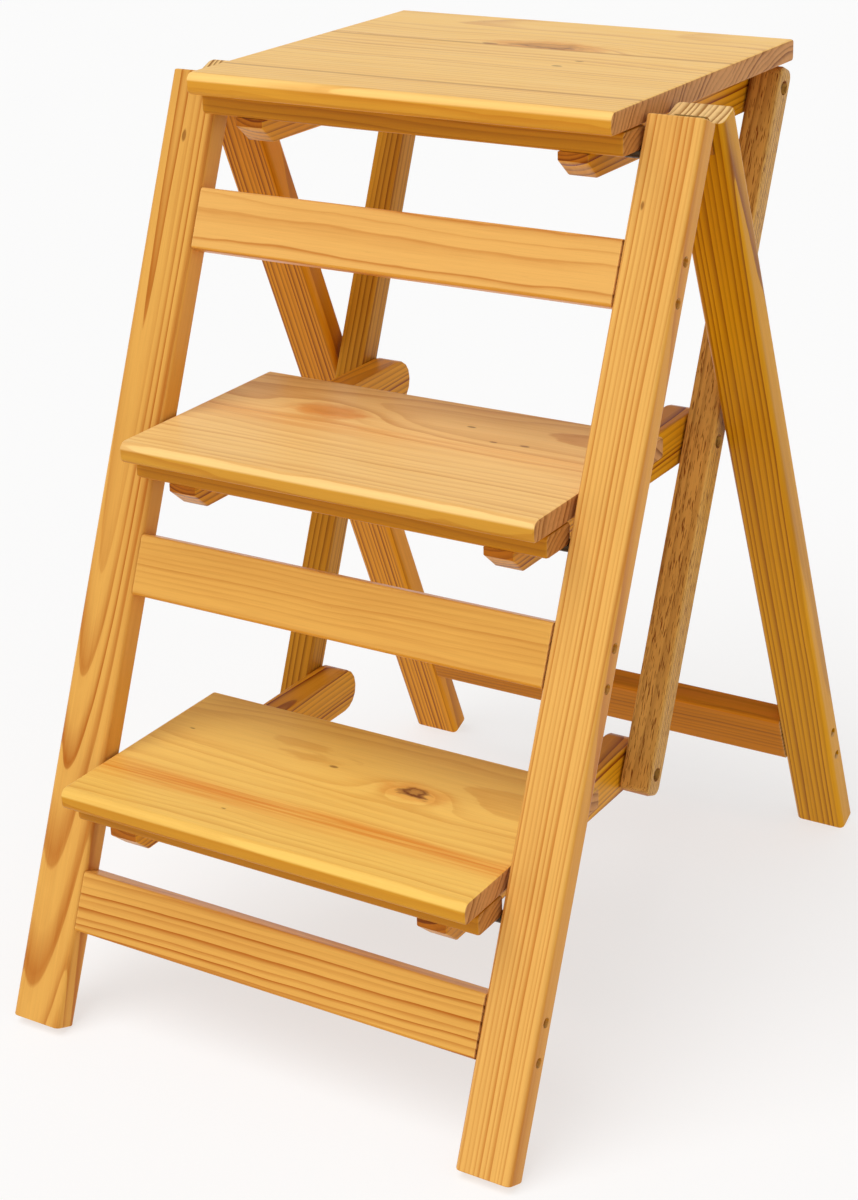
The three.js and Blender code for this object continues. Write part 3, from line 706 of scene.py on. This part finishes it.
def plated(name, dull, bright, stained):
    """Plated metal, turned or rolled: fine marks, dull patches, thin stains."""
    material, t = new_material(name)
    place = t.node("ShaderNodeTexCoord").outputs["Object"]

    def wear(scale, seed):
        return t.noise(t.vector("MULTIPLY", place, scale), seed, METAL_DETAIL, METAL_ROUGH)["Fac"]

    marks = wear(MARKS_PER_METRE, MARKS_SEED)
    patches = wear(PATCHES_PER_METRE, PATCHES_SEED)
    stain = t.times(t.ramp(patches, *STAINED_PATCHES), STAIN_SHARE)
    relief = {"Height": marks, "Strength": MARKS_STRENGTH, "Distance": MARKS_DISTANCE}
    t.surface({
        "Base Color": t.mix(stain, t.mix(marks, dull, bright), stained),
        "Roughness": t.plus(t.ramp(patches, *DULL_PATCHES), t.times(marks, MARKS_ROUGHNESS)),
        "Metallic": 1.0,
        "Normal": t.node("ShaderNodeBump", relief).outputs["Normal"],
    })
    return material


STEEL = plated("zinc_plate", linear(112, 106, 96), linear(142, 136, 124), linear(84, 70, 52))
# Darker steel for the front pivots.
DARK_STEEL = plated("dark_steel", linear(62, 50, 38), linear(80, 66, 50), linear(48, 34, 20))
BRASS = plated("brass_plate", linear(168, 124, 52), linear(206, 160, 80), linear(122, 84, 36))


# The part's solids

def smoothing_group():
    """Joins the triangles of a solid and smooths its roundings, by a modifier."""
    group = bpy.data.node_groups.new("smooth_roundings", "GeometryNodeTree")
    group.interface.new_socket("Geometry", in_out="INPUT", socket_type="NodeSocketGeometry")
    group.interface.new_socket("Geometry", in_out="OUTPUT", socket_type="NodeSocketGeometry")
    t = Tree(group)
    mesh = t.node("NodeGroupInput").outputs[0]
    mesh = t.node("GeometryNodeRemoveAttribute", {"Geometry": mesh, "Name": "custom_normal"}).outputs[0]
    mesh = t.node("GeometryNodeMergeByDistance", {"Geometry": mesh, "Distance": WELD_DISTANCE}).outputs[0]
    mesh = t.node("GeometryNodeSetShadeSmooth", {"Geometry": mesh}, domain="FACE").outputs[0]
    angle = t.node("GeometryNodeInputMeshEdgeAngle").outputs["Unsigned Angle"]
    soft = t.node("FunctionNodeCompare", {0: angle, 1: SMOOTH_ANGLE}, operation="LESS_THAN").outputs[0]
    smooth = {"Geometry": mesh, "Shade Smooth": soft}
    mesh = t.node("GeometryNodeSetShadeSmooth", smooth, domain="EDGE").outputs[0]
    t.node("NodeGroupOutput", {0: mesh})
    return group


SMOOTHING = smoothing_group()


def finish_solid(obj, material):
    """One material and smooth roundings for a solid."""
    obj.data.materials.clear()
    obj.data.materials.append(material)
    modifier = obj.modifiers.new("smooth", "NODES")
    modifier.node_group = SMOOTHING
    obj.modifiers.new("weighted_normals", "WEIGHTED_NORMAL").keep_sharp = True


def finish_solids():
    """Pine for the planks, brass for the hinges, steel for pins and screws."""
    for node_name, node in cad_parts.items():
        if node_name in PLANKS:
            along, across, looks = PLANKS[node_name]
            finish_solid(node, pine(f"pine_{node_name}", node, along, across, **looks))
        elif node_name.startswith("hinge"):
            finish_solid(node, BRASS)
        elif "front_pivot" in node_name:
            finish_solid(node, DARK_STEEL)
        else:
            finish_solid(node, STEEL)


finish_solids()


# Screws

# The cross recess, as shares of the radius of the flat of a head, and its depth in millimetres
CROSS_SHARE = 0.55
CROSS_SLOT = 0.14 # half the width of its slots
CROSS_DEPTH = 1.1
HEAD_SIDES = 28

# Profiles in millimetres, from the flat of the head to the point: (distance below the flat, radius)
RAIL_SCREW = ((0, 3.4), (2, 2), (52, 2), (58, 0.2))
BOARD_SCREW = ((0, 3.2), (0.25, 3.4), (2.4, 1.8), (20, 1.8), (24, 0.2))
HINGE_SCREW = ((0, 1.3), (0.35, 1.9), (0.8, 2.2), (0.85, 1.3), (7, 1.3), (9, 0.2))

# Places of the screws, in millimetres apart from the shares
BOARD_SCREW_SHARES = (0.22, 0.72) # along a cleat
BOARD_SCREW_PROUD = 0.2
HINGE_SCREW_HEAD = 0.8
HINGE_SCREW_PLACES = ((0, 8), (-6, 18), (6, 18)) # across the leaf, below the axis
LEAF_FACE = 1.5 # from the axis


def cross_outline(reach, slot):
    """The twelve corners of a plus sign, anticlockwise from the right-hand arm."""
    arm = ((reach, -slot), (reach, slot), (slot, slot))
    corners = []
    for turns in range(4):
        for u, v in arm:
            for _ in range(turns):
                u, v = -v, u
            corners.append((u, v))
    return corners


def zip_loops(outer, inner, outer_start, inner_start):
    """Triangles between two anticlockwise loops round the same centre."""
    def turns(loop):
        first = math.atan2(loop[0][1], loop[0][0])
        return [(math.atan2(v, u) - first) % math.tau for u, v in loop] + [math.tau]

    outer_turns, inner_turns = turns(outer), turns(inner)
    faces = []
    i = j = 0
    while i < len(outer) or j < len(inner):
        here = outer_start + i % len(outer), inner_start + j % len(inner)
        if j == len(inner) or (i < len(outer) and outer_turns[i + 1] <= inner_turns[j + 1]):
            i += 1
            faces.append((here[0], outer_start + i % len(outer), here[1]))
        else:
            j += 1
            faces.append((here[0], inner_start + j % len(inner), here[1]))
    return faces


def screw_shape(profile):
    """Points in millimetres and faces of a screw with a cross recess, its flat at 0 and facing up."""
    flat = profile[0][1]
    outline = cross_outline(flat * CROSS_SHARE, flat * CROSS_SLOT)
    start = math.atan2(outline[0][1], outline[0][0])
    turns = [start + math.tau * side / HEAD_SIDES for side in range(HEAD_SIDES)]
    circle = [(math.cos(turn), math.sin(turn)) for turn in turns]
    points = [(u * radius, v * radius, -below) for below, radius in profile for u, v in circle]
    faces = []
    last = (len(profile) - 1) * HEAD_SIDES
    for ring in range(0, last, HEAD_SIDES):
        for side in range(HEAD_SIDES):
            here = ring + side
            after = ring + (side + 1) % HEAD_SIDES
            faces.append((after, here, here + HEAD_SIDES, after + HEAD_SIDES))
    faces.append(tuple(range(last + HEAD_SIDES - 1, last - 1, -1)))
    rim = len(points)
    floor = rim + len(outline)
    points += [(u, v, 0) for u, v in outline]
    points += [(u, v, -CROSS_DEPTH) for u, v in outline]
    faces += zip_loops(circle, outline, 0, rim)
    for corner in range(len(outline)):
        after = (corner + 1) % len(outline)
        faces.append((rim + after, rim + corner, floor + corner, floor + after))
    faces.append(tuple(range(floor, floor + len(outline))))
    return points, faces


def add_screw(name, profile, place, out, body, material, node=None):
    """A screw with its flat at a place in metres and facing out."""
    points, faces = screw_shape(profile)
    turn = Vector(out).to_track_quat("Z", "Y")
    mesh = bpy.data.meshes.new(name)
    mesh.from_pydata([turn @ (Vector(point) * MM) + place for point in points], [], faces)
    mesh.materials.append(material)
    screw = new_object(name, mesh)
    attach(screw, body)
    if node:
        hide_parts(node)


def add_rail_screws():
    """The screws of the rails, each in place of its plain solid."""
    for node_name in list(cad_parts):
        if "rail" not in node_name or "_screw_" not in node_name:
            continue
        low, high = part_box(node_name)
        side = 1 if "_right_" in node_name else -1
        place = (low + high) / 2
        place.x = high.x if side > 0 else low.x
        body = "rear_frame" if node_name.startswith("rear") else "front_frame"
        add_screw(f"{node_name}_cross", RAIL_SCREW, place, (side, 0, 0), body, STEEL, node_name)


def add_board_screws():
    """The screws that hold the cleats to the boards, from below."""
    for tread in TREADS:
        for side in SIDES:
            low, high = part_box(f"{tread}_cleat_{side}")
            for number, share in enumerate(BOARD_SCREW_SHARES):
                along = low.y + (high.y - low.y) * share
                place = Vector(((low.x + high.x) / 2, along, low.z - BOARD_SCREW_PROUD * MM))
                name = f"{tread}_board_screw_{side}_{number}"
                add_screw(name, BOARD_SCREW, place, (0, 0, -1), tread, STEEL)


def add_hinge_screws():
    """Three screws in each leaf of the hinges."""
    # For each leaf: the way up its post, the way out of its face, and the body it rides on
    leaves = {
        "front": (Vector(UP_FRONT), Vector((0, math.cos(LEAN), -math.sin(LEAN))), "front_frame"),
        "rear": (Vector(UP_REAR), Vector((0, -math.cos(SPREAD), -math.sin(SPREAD))), "rear_frame"),
    }
    for side in SIDES:
        low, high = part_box(f"hinge_{side}_pin")
        axis = (low + high) / 2
        for leaf, (up, out, body) in leaves.items():
            for number, (across, below) in enumerate(HINGE_SCREW_PLACES):
                face = LEAF_FACE - HINGE_SCREW_HEAD
                place = axis + (Vector(X_AXIS) * across - up * below - out * face) * MM
                name = f"hinge_{side}_{leaf}_screw_{number}"
                add_screw(name, HINGE_SCREW, place, out, body, BRASS)


add_rail_screws()
add_board_screws()
add_hinge_screws()


# Studio

# Camera: place in metres, turn in degrees, lens and sensor in millimetres, shift as a share of the
# frame's longer side
CAMERA_PLACE = (0.81558, -1.34119, 0.933093)
CAMERA_TURN = (67.1434, 1.4156, 31.3156)
CAMERA_LENS = 70.938
CAMERA_SENSOR = 36
CAMERA_SHIFT = (-0.00134, -0.01037)
FLOOR_HALF = 200.0
FLOOR_GLOW = 0.635 # the paper lies on a light table
FLOOR_ROUGHNESS = 0.9
FLOOR_SEED = 1.0
FLOOR_DULL = linear(158, 158, 158)
FLOOR_BRIGHT = linear(160, 160, 160)
WORLD_LEVEL = 0.33
WORLD_COLOUR = (1.0, 0.99, 0.97, 1)
HORIZON_LEVEL = 0.97
HORIZON_BAND = (0.1, 0.26) # sines of the heights where the brightness starts to fade and where it ends

# Lamps: name, direction towards the lamp, level, spread in degrees
LAMPS = (
    ("key", (-0.15, -0.45, 0.88), 0.635, 50),
    ("fill", (0.85, -0.30, 0.43), 0.1, 70),
)


def make_camera():
    data = bpy.data.cameras.new("camera")
    data.sensor_width = CAMERA_SENSOR
    data.lens = CAMERA_LENS
    data.shift_x, data.shift_y = CAMERA_SHIFT
    camera = new_object("camera", data)
    camera.location = CAMERA_PLACE
    camera.rotation_euler = [math.radians(turn) for turn in CAMERA_TURN]
    bpy.context.scene.camera = camera


def soft_light(name, towards, level, spread):
    """A wide distant lamp. Level 1 lights a white face that looks straight at it to full white."""
    data = bpy.data.lights.new(name, "SUN")
    data.energy = level * math.pi
    data.angle = math.radians(spread)
    light = new_object(name, data)
    light.rotation_euler = Vector(towards).to_track_quat("Z", "Y").to_euler()


def paper():
    """Pale paper, hardly clouded, with light coming through it."""
    material, t = new_material("floor_paper")
    cloud = t.noise(t.node("ShaderNodeTexCoord").outputs["Object"], FLOOR_SEED)["Fac"]
    t.surface({
        "Base Color": t.mix(cloud, FLOOR_DULL, FLOOR_BRIGHT),
        "Roughness": FLOOR_ROUGHNESS,
        "Specular IOR Level": 0.0,
        "Emission Color": (1, 1, 1, 1),
        "Emission Strength": FLOOR_GLOW,
    })
    return material


def make_floor():
    mesh = bpy.data.meshes.new("floor")
    square = ((-1, -1), (1, -1), (1, 1), (-1, 1))
    corners = [(x * FLOOR_HALF, y * FLOOR_HALF, 0) for x, y in square]
    mesh.from_pydata(corners, [], [(0, 1, 2, 3)])
    mesh.materials.append(paper())
    floor = new_object("floor", mesh)


def make_world():
    """A dim sky that is bright below the horizon and a little above it."""
    world = bpy.data.worlds.new("studio")
    bpy.context.scene.world = world
    world.use_nodes = True
    t = Tree(world.node_tree)
    height = t.split(t.node("ShaderNodeTexCoord").outputs["Generated"])[2]
    background = world.node_tree.nodes["Background"]
    t.feed(background.inputs["Color"], WORLD_COLOUR)
    t.feed(background.inputs["Strength"], t.ramp(height, *HORIZON_BAND, HORIZON_LEVEL, WORLD_LEVEL))


make_camera()
make_world()
make_floor()
for lamp in LAMPS:
    soft_light(*lamp)
bpy.context.scene.view_settings.view_transform = "Standard"
